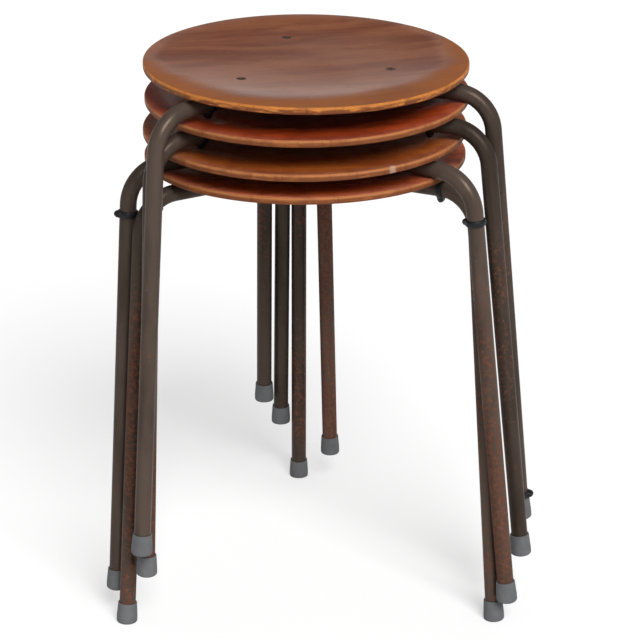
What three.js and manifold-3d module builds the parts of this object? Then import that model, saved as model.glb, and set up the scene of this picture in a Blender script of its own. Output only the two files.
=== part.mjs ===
// A nested stack of four used stools. Each stool is a dished plywood seat on three bent steel tubes, which
// are welded to a ring under the seat, bolted through it and shod with rubber feet. Each leg wears a rubber
// buffer. The stools were put down a little off centre, so each one rests on the seat below where its own
// arms and buffers meet it. Lengths are in millimetres, +Z is up and the floor is at Z = 0.

import * as THREE from "three";
import { mergeVertices } from "three/addons/utils/BufferGeometryUtils.js";
import Module from "manifold-3d";

const wasm = await Module();
wasm.setup();

const radians = THREE.MathUtils.degToRad;
const up = new THREE.Vector3(0, 0, 1);

// Clearance between pieces that touch, the same between an arm and the seat that it lies on, where it also
// takes up the bend's facets, how far a cut runs past the face that it opens, and how close two corners lie
// that are one.
const fitGap = 0.3;
const restGap = 0.45;
const cutOverrun = 1;
const sameCorner = 1e-3;

// Seat: one thickness of moulded plywood, measured at the rim.
const seatDiameter = 310;
const seatThickness = 7;
const seatHeight = 450;
const dishDepth = 4;
const dishPower = 2.6;
const rimRounding = 1.6;
const seatSides = 36;
const dishShares = [0.4, 0.68, 0.87];
const roundingSteps = 2;

// Leg: a level arm under the seat, a bend just past the rim and a splayed leg, all in one tube.
const tubeDiameter = 16;
const tubeWall = 1.5;
const bendRadius = 38;
const rimToLeg = 25;
const legSplay = radians(5.1);
const tubeSides = 12;
const boreSides = 6;
const bendSteps = 6;

// Hub: the open ring that the three arms are welded to.
const hubDiameter = 44;
const hubWall = 4;
const hubChamfer = 0.8;
const hubSides = 18;

// Seat bolt: a countersunk machine bolt from the top of the seat into the tapped wall of the arm.
const boltCircleRadius = 83;
const boltHeadDiameter = 9;
const boltHeadHeight = 2.4;
const boltShankDiameter = 6;
const boltTailLength = 4;
const boltSides = 8;

// Foot: a tapered rubber cup, pushed on the end of the leg.
const footHeight = 20.5;
const footMouthDiameter = 18.6;
const footSoleDiameter = 20.4;
const footSoleThickness = 3.6;
const footRounding = 2.6;
const footWidestHeight = 6;
const footSides = 12;

// Buffer: a rubber ring round the tube, with a thick side that bears on the seat below. Its place on the arm
// is a share of the seat's radius. Its place on the bend lies in the middle of a facet.
const bufferWidth = 6;
const bufferThickness = 1.7;
const bufferCrown = 0.8;
const bufferNubThickness = 5.4;
const bufferNubWidth = 10;
const bufferSides = 12;
const bufferNubSides = 8;
const bufferNubRings = 4;
const bufferArmShare = 0.806;
const bufferInsideRim = 9;
const bufferBendShare = 2.5 / bendSteps;
const bufferBelowBend = 9;
const bufferAboveFoot = 1;

const legAzimuths = { back: 90, left: 210, right: 330 };

// How the stools were stacked, bottom stool first. A turn is how far the knees lie round the axis from those
// of the stool below, and a shift how far the stool lies to the right of the one below and behind it. All are
// shares of the tube's diameter, as legs that lie a diameter apart stand side by side.
const stoolTurnShares = [0.381, -1.486, 2.584, 1.137];
const stoolShiftShares = [[0, 0], [-0.028, -0.669], [0.15, 0.088], [-0.044, 0.106]];

// Years of use have bent the legs. How far each foot stands outwards, and sideways anticlockwise seen from
// above, of where a straight stool's foot would stand, level and centred on the stool below. These are shares
// of the tube's diameter too.
const footShiftShares = [
  { back: [0.869, 0.106], left: [-0.375, 0.125], right: [-0.162, -0.95] },
  { back: [-0.225, -0.271], left: [-0.458, 0.396], right: [0.862, 0.631] },
  { back: [0.528, -0.011], left: [-0.978, 0.301], right: [0.656, -0.246] },
  { back: [-0.131, 0.026], left: [0.111, -0.293], right: [0.068, -0.283] },
];

// How much further out some arms bend down than the others, as shares of the tube's diameter.
const kneeShiftShares = [{}, { right: 0.55 }, {}, { left: 0.38 }];

// Rounds in which a stool settles: how its legs are bent decides how it lies, and the other way round.
const settlingRounds = 3;

// Places that follow from the sizes above.
const seatRadius = seatDiameter / 2;
const tubeRadius = tubeDiameter / 2;
const hubRadius = hubDiameter / 2;
const armAxisHeight = seatHeight - dishDepth - seatThickness - fitGap - tubeRadius;
const kneeRadius = seatRadius + rimToLeg;
const footCircleRadius = kneeRadius + armAxisHeight * Math.tan(legSplay);
const bufferBoreRadius = flatsRadius(tubeRadius + fitGap, bufferSides);
const bufferNubReach = bufferBoreRadius + bufferNubThickness;
const bufferArmDistance = bufferArmShare * seatRadius;

// Corner radius of a polygon whose flats lie at a radius, so that a round tube passes through it.
function flatsRadius(radius, sides) {
  return radius / Math.cos(Math.PI / sides);
}

// What follows from where a leg's knee lies on its arm, and how far its foot stands outwards of the stool's
// axis and sideways of the arm: how the leg splays and leans, and distances along the tube's centre line from
// the axis.
function legPlan(knee, reach, sideways) {
  const drop = Math.hypot(armAxisHeight, sideways);
  const splay = Math.atan2(reach - knee, drop);
  const bendAngle = Math.PI / 2 - splay;
  const bendTangent = bendRadius * Math.tan(bendAngle / 2);
  const bendStart = knee - bendTangent;
  const bendEnd = bendStart + bendRadius * bendAngle;
  return {
    splay,
    lean: Math.atan2(sideways, armAxisHeight),
    foot: new THREE.Vector3(reach, sideways, 0),
    bendStart,
    bendEnd,
    floor: bendEnd + drop / Math.cos(splay) - bendTangent,
  };
}

// Height of the seat's upper face above its lowest point.
function dishRise(radius) {
  return dishDepth * (radius / seatRadius) ** dishPower;
}

// A closed geometry as a solid that can be joined and cut.
function solidOf(geometry) {
  const bare = geometry.clone();
  bare.deleteAttribute("normal");
  bare.deleteAttribute("uv");
  const merged = mergeVertices(bare, sameCorner);
  return new wasm.Manifold(
    new wasm.Mesh({
      numProp: 3,
      vertProperties: new Float32Array(merged.attributes.position.array),
      triVerts: new Uint32Array(merged.index.array),
    }),
  );
}

// The solid's surface as a geometry with flat shading.
function geometryOf(solid) {
  const mesh = solid.getMesh();
  const geometry = new THREE.BufferGeometry();
  geometry.setAttribute("position", new THREE.BufferAttribute(new Float32Array(mesh.vertProperties), 3));
  geometry.setIndex(new THREE.BufferAttribute(new Uint32Array(mesh.triVerts), 1));
  const flat = geometry.toNonIndexed();
  flat.computeVertexNormals();
  return flat;
}

// A solid of revolution about +Z. The outline runs from the lower end to the upper, as [radius, height].
function turned(outline, sides) {
  const points = outline.map(([radius, height]) => new THREE.Vector2(radius, height));
  return new THREE.LatheGeometry(points, sides).rotateX(Math.PI / 2);
}

// Points on an arc about [radius, height] centre, from one angle to another, both included.
function arcPoints(centreRadius, centreHeight, arcRadius, fromAngle, toAngle, steps) {
  return Array.from({ length: steps + 1 }, (_, i) => {
    const angle = fromAngle + ((toAngle - fromAngle) * i) / steps;
    return [centreRadius + arcRadius * Math.cos(angle), centreHeight + arcRadius * Math.sin(angle)];
  });
}

// Corners of a regular polygon with a flat side across each axis.
function circlePoints(radius, sides) {
  return Array.from({ length: sides }, (_, i) => {
    const angle = (Math.PI * (2 * i + 1)) / sides;
    return new THREE.Vector2(radius * Math.cos(angle), radius * Math.sin(angle));
  });
}

// A path with rings exactly at its stations, so that straight runs take one step and bends take several.
class StationPath extends THREE.Curve {
  constructor(stations) {
    super();
    this.stations = stations;
  }

  between(t, key, target) {
    const place = t * (this.stations.length - 1);
    const index = Math.min(Math.floor(place), this.stations.length - 2);
    return target.lerpVectors(this.stations[index][key], this.stations[index + 1][key], place - index);
  }

  getPoint(t, target = new THREE.Vector3()) {
    return this.between(t, "point", target);
  }

  getTangent(t, target = new THREE.Vector3()) {
    return this.between(t, "tangent", target).normalize();
  }

  getPointAt(u, target) {
    return this.getPoint(u, target);
  }

  getTangentAt(u, target) {
    return this.getTangent(u, target);
  }
}

// Point and direction on a leg's centre line, at a distance from the stool's axis measured along the tube.
// The leg lies in the XZ plane, with X outwards. dip is how far the direction has turned down from level.
function legStation({ bendStart, bendEnd }, distance) {
  const dip = THREE.MathUtils.clamp(distance - bendStart, 0, bendEnd - bendStart) / bendRadius;
  const alongArm = Math.min(distance, bendStart);
  const alongLeg = Math.max(distance - bendEnd, 0);
  const tangent = new THREE.Vector3(Math.cos(dip), 0, -Math.sin(dip));
  const point = new THREE.Vector3(
    alongArm + bendRadius * Math.sin(dip),
    0,
    armAxisHeight - bendRadius * (1 - Math.cos(dip)),
  ).addScaledVector(tangent, alongLeg);
  return { point, tangent, dip };
}

// Seat disc with the countersunk holes for its bolts. Height 0 is the floor.
function seatGeometry() {
  const top = seatHeight - dishDepth;
  const edge = seatRadius - rimRounding;
  const upper = dishShares.map((share) => share * seatRadius);
  const outline = [
    [0, top - seatThickness],
    ...upper.map((radius) => [radius, top - seatThickness + dishRise(radius)]),
    ...arcPoints(
      edge, seatHeight - seatThickness + rimRounding, rimRounding, -Math.PI / 2, 0, roundingSteps,
    ),
    ...arcPoints(edge, seatHeight - rimRounding, rimRounding, 0, Math.PI / 2, roundingSteps),
    ...upper.toReversed().map((radius) => [radius, top + dishRise(radius)]),
    [0, top],
  ];
  let seat = solidOf(turned(outline, seatSides));
  for (const azimuth of Object.values(legAzimuths)) {
    const hole = turned(boltOutline(fitGap, cutOverrun), boltSides);
    hole.translate(boltCircleRadius, 0, boltTopHeight());
    hole.rotateZ(radians(azimuth));
    seat = seat.subtract(solidOf(hole));
  }
  return geometryOf(seat);
}

// The bolt's head lies level with the lowest part of the seat round it.
function boltTopHeight() {
  return seatHeight - dishDepth + dishRise(boltCircleRadius - boltHeadDiameter / 2);
}

// Outline of the bolt, grown all round by a gap, with its top face at height 0 and then raised.
function boltOutline(gap, raise) {
  const shankRadius = boltShankDiameter / 2 + gap;
  const headRadius = boltHeadDiameter / 2 + gap;
  const armTop = armAxisHeight + tubeRadius - tubeWall - boltTopHeight();
  const outline = [
    [0, armTop - boltTailLength - gap],
    [shankRadius, armTop - boltTailLength - gap],
    [shankRadius, -boltHeadHeight],
    [headRadius, 0],
  ];
  if (raise > 0) outline.push([headRadius, raise]);
  outline.push([0, raise]);
  return outline;
}

function boltGeometry() {
  return turned(boltOutline(0, 0), boltSides);
}

// Bent tube with its bore, fish-mouthed to the hub ring and drilled for the seat bolt. The leg's lean is a
// turn about the arm.
function legGeometry(plan) {
  const hubCutRadius = flatsRadius(hubRadius + fitGap, hubSides);
  const distances = [Math.sqrt(hubRadius ** 2 - tubeRadius ** 2) - cutOverrun];
  for (let i = 0; i <= bendSteps; i += 1) {
    distances.push(plan.bendStart + ((plan.bendEnd - plan.bendStart) * i) / bendSteps);
  }
  distances.push(plan.floor - footSoleThickness - fitGap);
  const path = new StationPath(distances.map((distance) => legStation(plan, distance)));
  const section = new THREE.Shape(circlePoints(tubeRadius, tubeSides));
  section.holes.push(new THREE.Path(circlePoints(tubeRadius - tubeWall, boreSides)));
  const tube = new THREE.ExtrudeGeometry(section, { extrudePath: path, steps: distances.length - 1 });
  tube.translate(0, 0, -armAxisHeight).rotateX(plan.lean).translate(0, 0, armAxisHeight);
  const hubCutHeight = tubeDiameter + 2 * cutOverrun;
  const hubCut = new THREE.CylinderGeometry(hubCutRadius, hubCutRadius, hubCutHeight, hubSides);
  hubCut.rotateX(Math.PI / 2).translate(0, 0, armAxisHeight);
  const boltHole = turned(boltOutline(fitGap, cutOverrun), boltSides);
  boltHole.translate(boltCircleRadius, 0, boltTopHeight());
  return geometryOf(solidOf(tube).subtract(solidOf(hubCut)).subtract(solidOf(boltHole)));
}

function hubGeometry() {
  const inner = hubRadius - hubWall;
  const lower = armAxisHeight - tubeRadius;
  const upper = armAxisHeight + tubeRadius;
  const outline = [
    [inner, lower],
    [hubRadius - hubChamfer, lower],
    [hubRadius, lower + hubChamfer],
    [hubRadius, upper - hubChamfer],
    [hubRadius - hubChamfer, upper],
    [inner, upper],
    [inner, lower],
  ];
  return turned(outline, hubSides);
}

// Rubber cup about the leg's axis, whose sole is cut level. Its origin is where the axis meets the floor.
function footGeometry({ splay, lean }) {
  const soleRadius = footSoleDiameter / 2;
  const boreRadius = flatsRadius(tubeRadius + fitGap, footSides);
  const below = -soleRadius * Math.hypot(Math.sin(splay), Math.sin(lean));
  const outline = [
    [0, below],
    ...arcPoints(
      soleRadius - footRounding, below + footRounding, footRounding, -Math.PI / 2, 0, roundingSteps,
    ),
    [soleRadius, footWidestHeight],
    [footMouthDiameter / 2, footHeight],
    [boreRadius, footHeight],
    [boreRadius, footSoleThickness],
    [0, footSoleThickness],
  ];
  const cup = turned(outline, footSides).rotateY(-splay).rotateX(lean);
  const underFloor = new THREE.BoxGeometry(2 * footSoleDiameter, 2 * footSoleDiameter, footHeight);
  underFloor.translate(0, 0, -footHeight / 2);
  return geometryOf(solidOf(cup).subtract(solidOf(underFloor)));
}

// Rubber ring about +X with its thick side towards -Z.
function bufferGeometry() {
  const outer = bufferBoreRadius + bufferThickness;
  const half = bufferWidth / 2;
  const outline = [
    [bufferBoreRadius, -half],
    [outer - bufferCrown, -half],
    [outer, 0],
    [outer - bufferCrown, half],
    [bufferBoreRadius, half],
    [bufferBoreRadius, -half],
  ];
  const ring = solidOf(turned(outline, bufferSides).rotateY(Math.PI / 2));
  const nub = new THREE.SphereGeometry(1, bufferNubSides, bufferNubRings);
  nub.scale(half, bufferNubWidth / 2, bufferNubThickness / 2 + bufferThickness / 2);
  nub.translate(0, 0, -bufferNubReach + bufferNubThickness / 2 + bufferThickness / 2);
  const bore = new THREE.CylinderGeometry(
    bufferBoreRadius, bufferBoreRadius, bufferWidth + 2 * cutOverrun, bufferSides,
  );
  bore.rotateZ(Math.PI / 2);
  return geometryOf(ring.add(solidOf(nub).subtract(solidOf(bore))));
}

// Where a buffer sits on its tube: the distance along it, and which way its thick side faces. On a leg the
// thick side faces the stool's axis at no turn, and outwards at half a turn.
const bufferPlaces = {
  onArm: { distance: () => bufferArmDistance, turn: 0 },
  atRim: { distance: () => seatRadius - bufferInsideRim, turn: 0 },
  onBendOutwards: {
    distance: ({ bendStart, bendEnd }) => THREE.MathUtils.lerp(bendStart, bendEnd, bufferBendShare),
    turn: Math.PI,
  },
  belowBendInwards: { distance: ({ bendEnd }) => bendEnd + bufferBelowBend, turn: 0 },
  belowBendOutwards: { distance: ({ bendEnd }) => bendEnd + bufferBelowBend, turn: Math.PI },
  onFootOutwards: {
    distance: ({ floor }) => floor - footHeight - bufferAboveFoot - bufferWidth / 2,
    turn: Math.PI,
  },
};

// Each stool's buffers, bottom stool first.
const stoolBuffers = [
  { back: "onArm", left: "onBendOutwards", right: "atRim" },
  { back: "belowBendInwards", left: "belowBendOutwards", right: "belowBendInwards" },
  { back: "onArm", left: "onArm", right: "onArm" },
  { back: "onArm", left: "onArm", right: "onFootOutwards" },
];

// How far the underside of an arm has curved down from level at a distance.
function armSag({ bendStart }, distance) {
  const insideBend = bendRadius - tubeRadius;
  const pastBend = Math.max(distance - bendStart, 0);
  return insideBend - Math.sqrt(insideBend ** 2 - pastBend ** 2);
}

// Where one arm of a stool meets the seat below, as a point in the plane that the stool's floor lies in. The
// arm runs in a direction from the stool's axis, which a shift has moved off the lower stool's axis. Either
// its buffer bears on the seat's face or its bare underside on the rim.
function restPoint(plan, buffer, direction, shift) {
  const rim = seatRadius - rimRounding;
  const sideways = direction.x * shift.y - direction.y * shift.x;
  const rimDistance = Math.sqrt(rim ** 2 - sideways ** 2) - direction.dot(shift);
  const armDepth = tubeRadius * Math.cos(Math.PI / tubeSides) + armSag(plan, rimDistance);
  const bufferRadius = direction.clone().multiplyScalar(bufferArmDistance).add(shift).length();
  const bufferDepth = bufferNubReach - dishDepth + dishRise(bufferRadius);
  const onBuffer = buffer === "onArm" && bufferDepth > armDepth;
  const distance = onBuffer ? bufferArmDistance : rimDistance;
  const height = seatHeight - armAxisHeight + (onBuffer ? bufferDepth : armDepth) + restGap;
  return new THREE.Vector3(direction.x * distance, direction.y * distance, height);
}

// Place of a stool in the frame of the one that it rests on, tilted so that all three arms bear.
function restingPlace(turn, shift, plans, buffers) {
  const points = Object.keys(legAzimuths).map((side) => {
    const azimuth = radians(legAzimuths[side]) + turn;
    const direction = new THREE.Vector2(Math.cos(azimuth), Math.sin(azimuth));
    return restPoint(plans[side], buffers[side], direction, shift);
  });
  const plane = new THREE.Plane().setFromCoplanarPoints(...points);
  const tilt = new THREE.Quaternion().setFromUnitVectors(up, plane.normal);
  const pivot = up.clone().multiplyScalar(armAxisHeight - tubeRadius);
  return new THREE.Matrix4()
    .makeTranslation(shift.x, shift.y, -plane.constant / plane.normal.z)
    .multiply(new THREE.Matrix4().makeTranslation(pivot))
    .multiply(new THREE.Matrix4().makeRotationFromQuaternion(tilt))
    .multiply(new THREE.Matrix4().makeTranslation(pivot.negate()))
    .multiply(new THREE.Matrix4().makeRotationZ(turn));
}

// The plans of a stool's legs, so that the feet of a stool in its place stand where they should.
function legPlans(i, turn, place) {
  const toStool = place.clone().invert();
  const rise = new THREE.Vector3().setFromMatrixPosition(place).z;
  const plans = {};
  for (const [side, shares] of Object.entries(footShiftShares[i])) {
    const azimuth = radians(legAzimuths[side]);
    const knee = kneeRadius + (kneeShiftShares[i][side] ?? 0) * tubeDiameter;
    const [outwards, sideways] = shares.map((share) => share * tubeDiameter);
    const foot = new THREE.Vector3(footCircleRadius + outwards, sideways, 0);
    foot.applyAxisAngle(up, azimuth + turn).setZ(rise).applyMatrix4(toStool).applyAxisAngle(up, -azimuth);
    plans[side] = legPlan(knee, foot.x, foot.y);
  }
  return plans;
}

// The place of a stool in the frame of the one below it, and its legs' plans.
function settled(i) {
  const turn = (stoolTurnShares[i] * tubeDiameter) / kneeRadius;
  const shift = new THREE.Vector2(...stoolShiftShares[i]).multiplyScalar(tubeDiameter);
  let place = new THREE.Matrix4().makeRotationZ(turn);
  let plans = legPlans(i, turn, place);
  for (let round = 0; round < settlingRounds && i > 0; round += 1) {
    place = restingPlace(turn, shift, plans, stoolBuffers[i]);
    plans = legPlans(i, turn, place);
  }
  return { place, plans };
}

const finishes = {
  plywood: { color: 0x8a4a22, roughness: 0.42, metalness: 0 },
  tube: { color: 0x4a4039, roughness: 0.45, metalness: 0.4 },
  hub: { color: 0x453b35, roughness: 0.5, metalness: 0.4 },
  bolt: { color: 0x2c2522, roughness: 0.5, metalness: 0.7 },
  foot: { color: 0x747677, roughness: 0.75, metalness: 0 },
  buffer: { color: 0x1c1d1f, roughness: 0.6, metalness: 0 },
};

function piece(name, geometry, finish) {
  const mesh = new THREE.Mesh(geometry, new THREE.MeshStandardMaterial(finishes[finish]));
  mesh.name = name;
  return mesh;
}

const shapes = {
  seat: seatGeometry(),
  hub: hubGeometry(),
  bolt: boltGeometry(),
  buffer: bufferGeometry(),
};

function bufferOn(name, plan, placeName) {
  const { distance, turn } = bufferPlaces[placeName];
  const { point, dip } = legStation(plan, distance(plan));
  const lean = new THREE.Group();
  lean.position.z = armAxisHeight;
  lean.rotation.x = plan.lean;
  const holder = new THREE.Group();
  holder.position.set(point.x, point.y, point.z - armAxisHeight);
  holder.rotation.y = dip;
  const buffer = piece(name, shapes.buffer, "buffer");
  buffer.rotation.x = turn;
  holder.add(buffer);
  return lean.add(holder);
}

function legAssembly(stoolName, side, plan, bufferPlace) {
  const assembly = new THREE.Group();
  assembly.rotation.z = radians(legAzimuths[side]);
  const foot = piece(`${stoolName}_foot_${side}`, footGeometry(plan), "foot");
  foot.position.copy(plan.foot);
  const bolt = piece(`${stoolName}_bolt_${side}`, shapes.bolt, "bolt");
  bolt.position.set(boltCircleRadius, 0, boltTopHeight());
  assembly.add(
    piece(`${stoolName}_leg_${side}`, legGeometry(plan), "tube"),
    foot,
    bolt,
    bufferOn(`${stoolName}_buffer_${side}`, plan, bufferPlace),
  );
  return assembly;
}

function stool(name, plans, buffers) {
  const assembly = new THREE.Group();
  assembly.add(piece(`${name}_seat`, shapes.seat, "plywood"), piece(`${name}_hub`, shapes.hub, "hub"));
  for (const side of Object.keys(legAzimuths)) {
    assembly.add(legAssembly(name, side, plans[side], buffers[side]));
  }
  return assembly;
}

const stack = new THREE.Group();
const stackPlace = new THREE.Matrix4();
stoolBuffers.forEach((buffers, i) => {
  const { place, plans } = settled(i);
  stackPlace.multiply(place);
  const assembly = stool(`stool_${i + 1}`, plans, buffers);
  assembly.applyMatrix4(stackPlace);
  stack.add(assembly);
});

// The origin is on the floor, under the middle of the whole stack's box.
const bounds = new THREE.Box3().setFromObject(stack, true);
const middle = bounds.getCenter(new THREE.Vector3());
stack.position.set(-middle.x, -middle.y, -bounds.min.z);

const group = new THREE.Group();
group.add(stack);

export default group;
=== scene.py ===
"""Dresses a nested stack of stacking stools: lacquered plywood seats on painted steel tubes, with rubber feet
and rubber buffers. Each stool's pieces are drawn in the stool's own frame, which is read from the solids,
with the stool's floor at height 0, its back leg towards +Y and lengths in metres. They are then laid in the
stack."""

import math
from typing import NamedTuple

import bmesh
import bpy
import numpy as np
from bpy.props import FloatProperty, FloatVectorProperty, PointerProperty
from mathutils import Matrix, Vector


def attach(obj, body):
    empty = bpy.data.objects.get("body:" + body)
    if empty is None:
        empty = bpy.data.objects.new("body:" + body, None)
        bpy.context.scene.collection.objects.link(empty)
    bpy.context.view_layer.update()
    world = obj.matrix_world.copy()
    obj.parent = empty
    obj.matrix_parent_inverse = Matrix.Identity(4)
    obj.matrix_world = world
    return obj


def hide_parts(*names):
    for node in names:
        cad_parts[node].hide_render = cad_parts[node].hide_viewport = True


bl_info = {
    "name": "Stacking stools",
    "version": (1, 0, 0),
    "blender": (4, 5, 0),
    "location": "3D View > Sidebar > Stools",
    "description": "Dresses a nested stack of plywood and steel tube stools",
    "category": "Object",
}

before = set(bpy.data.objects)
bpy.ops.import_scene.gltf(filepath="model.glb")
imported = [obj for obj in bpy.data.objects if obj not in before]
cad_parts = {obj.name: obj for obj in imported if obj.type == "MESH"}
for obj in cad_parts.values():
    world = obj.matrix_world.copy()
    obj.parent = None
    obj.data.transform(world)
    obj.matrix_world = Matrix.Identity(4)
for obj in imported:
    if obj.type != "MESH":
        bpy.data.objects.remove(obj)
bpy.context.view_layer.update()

STOOLS = (1, 2, 3, 4)
TOP_STOOL = 4
SIDES = ("back", "left", "right")
QUARTER = math.pi / 2

# How finely the round forms are drawn: sides round their axis, and rings or steps along their outline.
SEAT_SIDES, SEAT_RINGS, RIM_STEPS, HOLE_SIDES = 240, 44, 6, 40
TUBE_SIDES, ARM_RINGS, BEND_RINGS, LEG_RINGS = 48, 10, 36, 24
HUB_SIDES, HUB_CORNER_STEPS = 96, 4
FOOT_SIDES, SOLE_STEPS, LIP_STEPS = 64, 8, 4
BOLT_SIDES = 48
BUFFER_SIDES, BUFFER_STEPS = 96, 18
FLOOR_STEPS = 12
# The seat's outermost ring lies just inside the rim's rounding. The other shares are rings that keep a bolt's
# flat face and a foot's straight side evenly shaded.
RIM_RING = 0.988
BOLT_FACE_RINGS = (1.0, 0.97, 0.9, 0.8, 0.65, 0.5, 0.3, 0.15, 0.0)
FOOT_SIDE_RINGS = (0.02, 0.25, 0.5, 0.75, 0.98)
# How finely a buffer's place is looked for along its tube.
PLACE_STEPS = 4001

# Lengths of small details: the clearance round what fits into what, how far an arm's end lies in the hub's
# wall, the foot's rounded lip and how much of its bore is drawn, the bolt, its head's edge and its slot, and
# how far the cutter for its hole reaches under and over the head's face.
FIT_GAP = 0.0003
ARM_IN_HUB = 0.0012
FOOT_LIP = 0.0006
FOOT_BORE_SHOWN = 0.004
BOLT_LENGTH = 0.016
BOLT_EDGE = 0.0002
BOLT_SLOT_DEPTH = 0.0007
CUTTER_DEPTH = 0.02
CUTTER_RISE = 0.004

# A seat's face belongs to its edge where it lies within this share of the rim's rounding from the rim and its
# normal is less upright than this. The underside's faces lie no higher than this over the rim's lower edge.
EDGE_ROUNDING_SHARE = 0.75
EDGE_UPWARD = 0.9
UNDERSIDE_MARGIN = 0.001

# The weld's bead along the arm: its place from the hub and its height over the tube, in weld sizes.
WELD_BEAD = ((0.0, 1.0), (0.45, 0.9), (0.9, 0.62), (1.3, 0.3), (1.7, 0.08))
WELD_LENGTH = 2.2

# The buffer's thick side: where it falls off as a share of its width, and how squarely. Then how full the
# ring's section is.
NUB_HALF_SHARE = 0.42
NUB_SQUARENESS = 4
BUFFER_FULLNESS = 0.6

# The middle of the worn ring, which reaches further in at the front.
WORN_MIDDLE = (0.0, 0.024, 0.0)

# Pale dust on the lower seats' middles, also used as painted light that lightens the shade under the seat
# above.
DUST_AND_PAINTED_LIGHT = (0.34, 0.19, 0.15)
SCRATCHED_WOOD = (0.60, 0.36, 0.22)
MARKED_WOOD = (0.52, 0.34, 0.26)
CHIPPED_PAINT = (0.24, 0.20, 0.17)
WHITE = (1.0, 1.0, 1.0, 1.0)


class SeatLook(NamedTuple):
    """How one seat looks: how its grain is turned, where its pattern starts, and how scratched, glossy, worn,
    dust-covered and bare at the edge it is, from 0 to 1. The dust's pale tone on the middle is partly painted
    light, which lightens the shade under the seat above. mark is a pale mark's place in the stool's frame,
    its reach and how pale it is."""
    label: str
    grain_turn: float
    seed: float
    scratched: float
    gloss: float = 0.15
    worn: float = 0.3
    dust_and_painted_light: float = 0.6
    bare_edge: float = 0.25
    mark: tuple = None


SEAT_LOOKS = {
    4: SeatLook("top", 0.08, 3.1, 0.15, gloss=0.42, worn=0.9, dust_and_painted_light=0.0, bare_edge=0.9),
    3: SeatLook("third", 1.45, 7.7, 0.3, mark=((-0.092, -0.082, 0.0), 0.009, 0.80)),
    2: SeatLook("second", 1.5, 12.4, 0.6, mark=((0.093, -0.125, 0.0), 0.005, 0.75)),
    1: SeatLook("bottom", 1.4, 21.9, 0.3),
}

# How far rust has come through the paint of each leg, and a painted shade: how light that leg's paint is
# made, darker on legs that lie in the shade of the stack or of other legs, lighter on lit ones.
TUBE_RUST_AND_PAINTED_SHADE = {
    4: {"back": (0.50, 0.75), "left": (0.20, 0.88), "right": (0.35, 0.75)},
    3: {"back": (0.40, 0.70), "left": (0.85, 0.90), "right": (0.50, 0.60)},
    2: {"back": (1.00, 1.10), "left": (0.35, 0.85), "right": (0.80, 0.95)},
    1: {"back": (0.55, 0.75), "left": (0.75, 0.80), "right": (0.60, 0.95)},
}
HUB_RUST = 0.3


# Sizes and colours

def length(name, description, default):
    """A length in metres that a user can change."""
    return FloatProperty(
        name=name, description=description, default=default, min=0.0, unit="LENGTH", subtype="DISTANCE",
        precision=4,
    )


def colour(name, description, default):
    """A colour that a user can change."""
    return FloatVectorProperty(
        name=name, description=description, default=default, min=0.0, max=1.0, size=3, subtype="COLOR"
    )


class StoolSizes(bpy.types.PropertyGroup):
    """Sizes of one stool"""
    seat_diameter: length("Seat diameter", "Across the seat's rim", 0.310)
    seat_thickness: length("Seat thickness", "Of the moulded plywood, at the rim", 0.007)
    seat_height: length("Seat height", "From the floor under the stool to the rim's top", 0.450)
    dish_depth: length("Dish depth", "How far the seat's middle lies below its rim", 0.004)
    dish_power: FloatProperty(
        name="Dish power", description="How late the dish rises towards the rim", default=2.6, min=1.0
    )
    rim_rounding: length("Rim rounding", "Radius of the rim's two corners", 0.0016)
    tube_diameter: length("Tube diameter", "Of the legs and arms", 0.016)
    bend_radius: length("Bend radius", "Of the tube's centre line at the knee", 0.038)
    arm_height: length("Arm height", "Of the arm's centre line above the floor under the stool", 0.4307)
    hub_diameter: length("Hub diameter", "Of the ring that the arms are welded to", 0.044)
    hub_wall: length("Hub wall", "Thickness of the ring", 0.004)
    hub_chamfer: length("Hub chamfer", "On the ring's outer corners", 0.0008)
    weld_size: length("Weld size", "How far the bead stands out from the tube", 0.0016)
    bolt_circle_radius: length("Bolt circle radius", "Of the seat bolts about the stool's axis", 0.083)
    bolt_head_diameter: length("Bolt head diameter", "Across the countersunk head", 0.009)
    bolt_head_height: length("Bolt head height", "Of the cone under the head's face", 0.0024)
    bolt_shank_diameter: length("Bolt shank diameter", "Of the threaded shank", 0.006)
    bolt_slot: length("Bolt slot", "Width of the screwdriver slot", 0.0011)
    foot_height: length("Foot height", "Of the rubber cup on the leg's end", 0.0205)
    foot_mouth_diameter: length("Foot mouth diameter", "Across the cup's upper end", 0.0186)
    foot_sole_diameter: length("Foot sole diameter", "Across the cup near the floor", 0.0204)
    foot_rounding: length("Foot rounding", "Radius of the sole's edge", 0.0026)
    foot_widest_height: length("Foot widest height", "Where the cup's taper ends above the sole", 0.006)
    buffer_width: length("Buffer width", "Of the rubber ring along the tube", 0.006)
    buffer_thickness: length("Buffer thickness", "Of the ring's thin side", 0.0017)
    buffer_nub_thickness: length("Buffer nub thickness", "Of the ring's thick side", 0.0054)
    buffer_nub_width: length("Buffer nub width", "Of the thick side, round the tube", 0.010)


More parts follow.
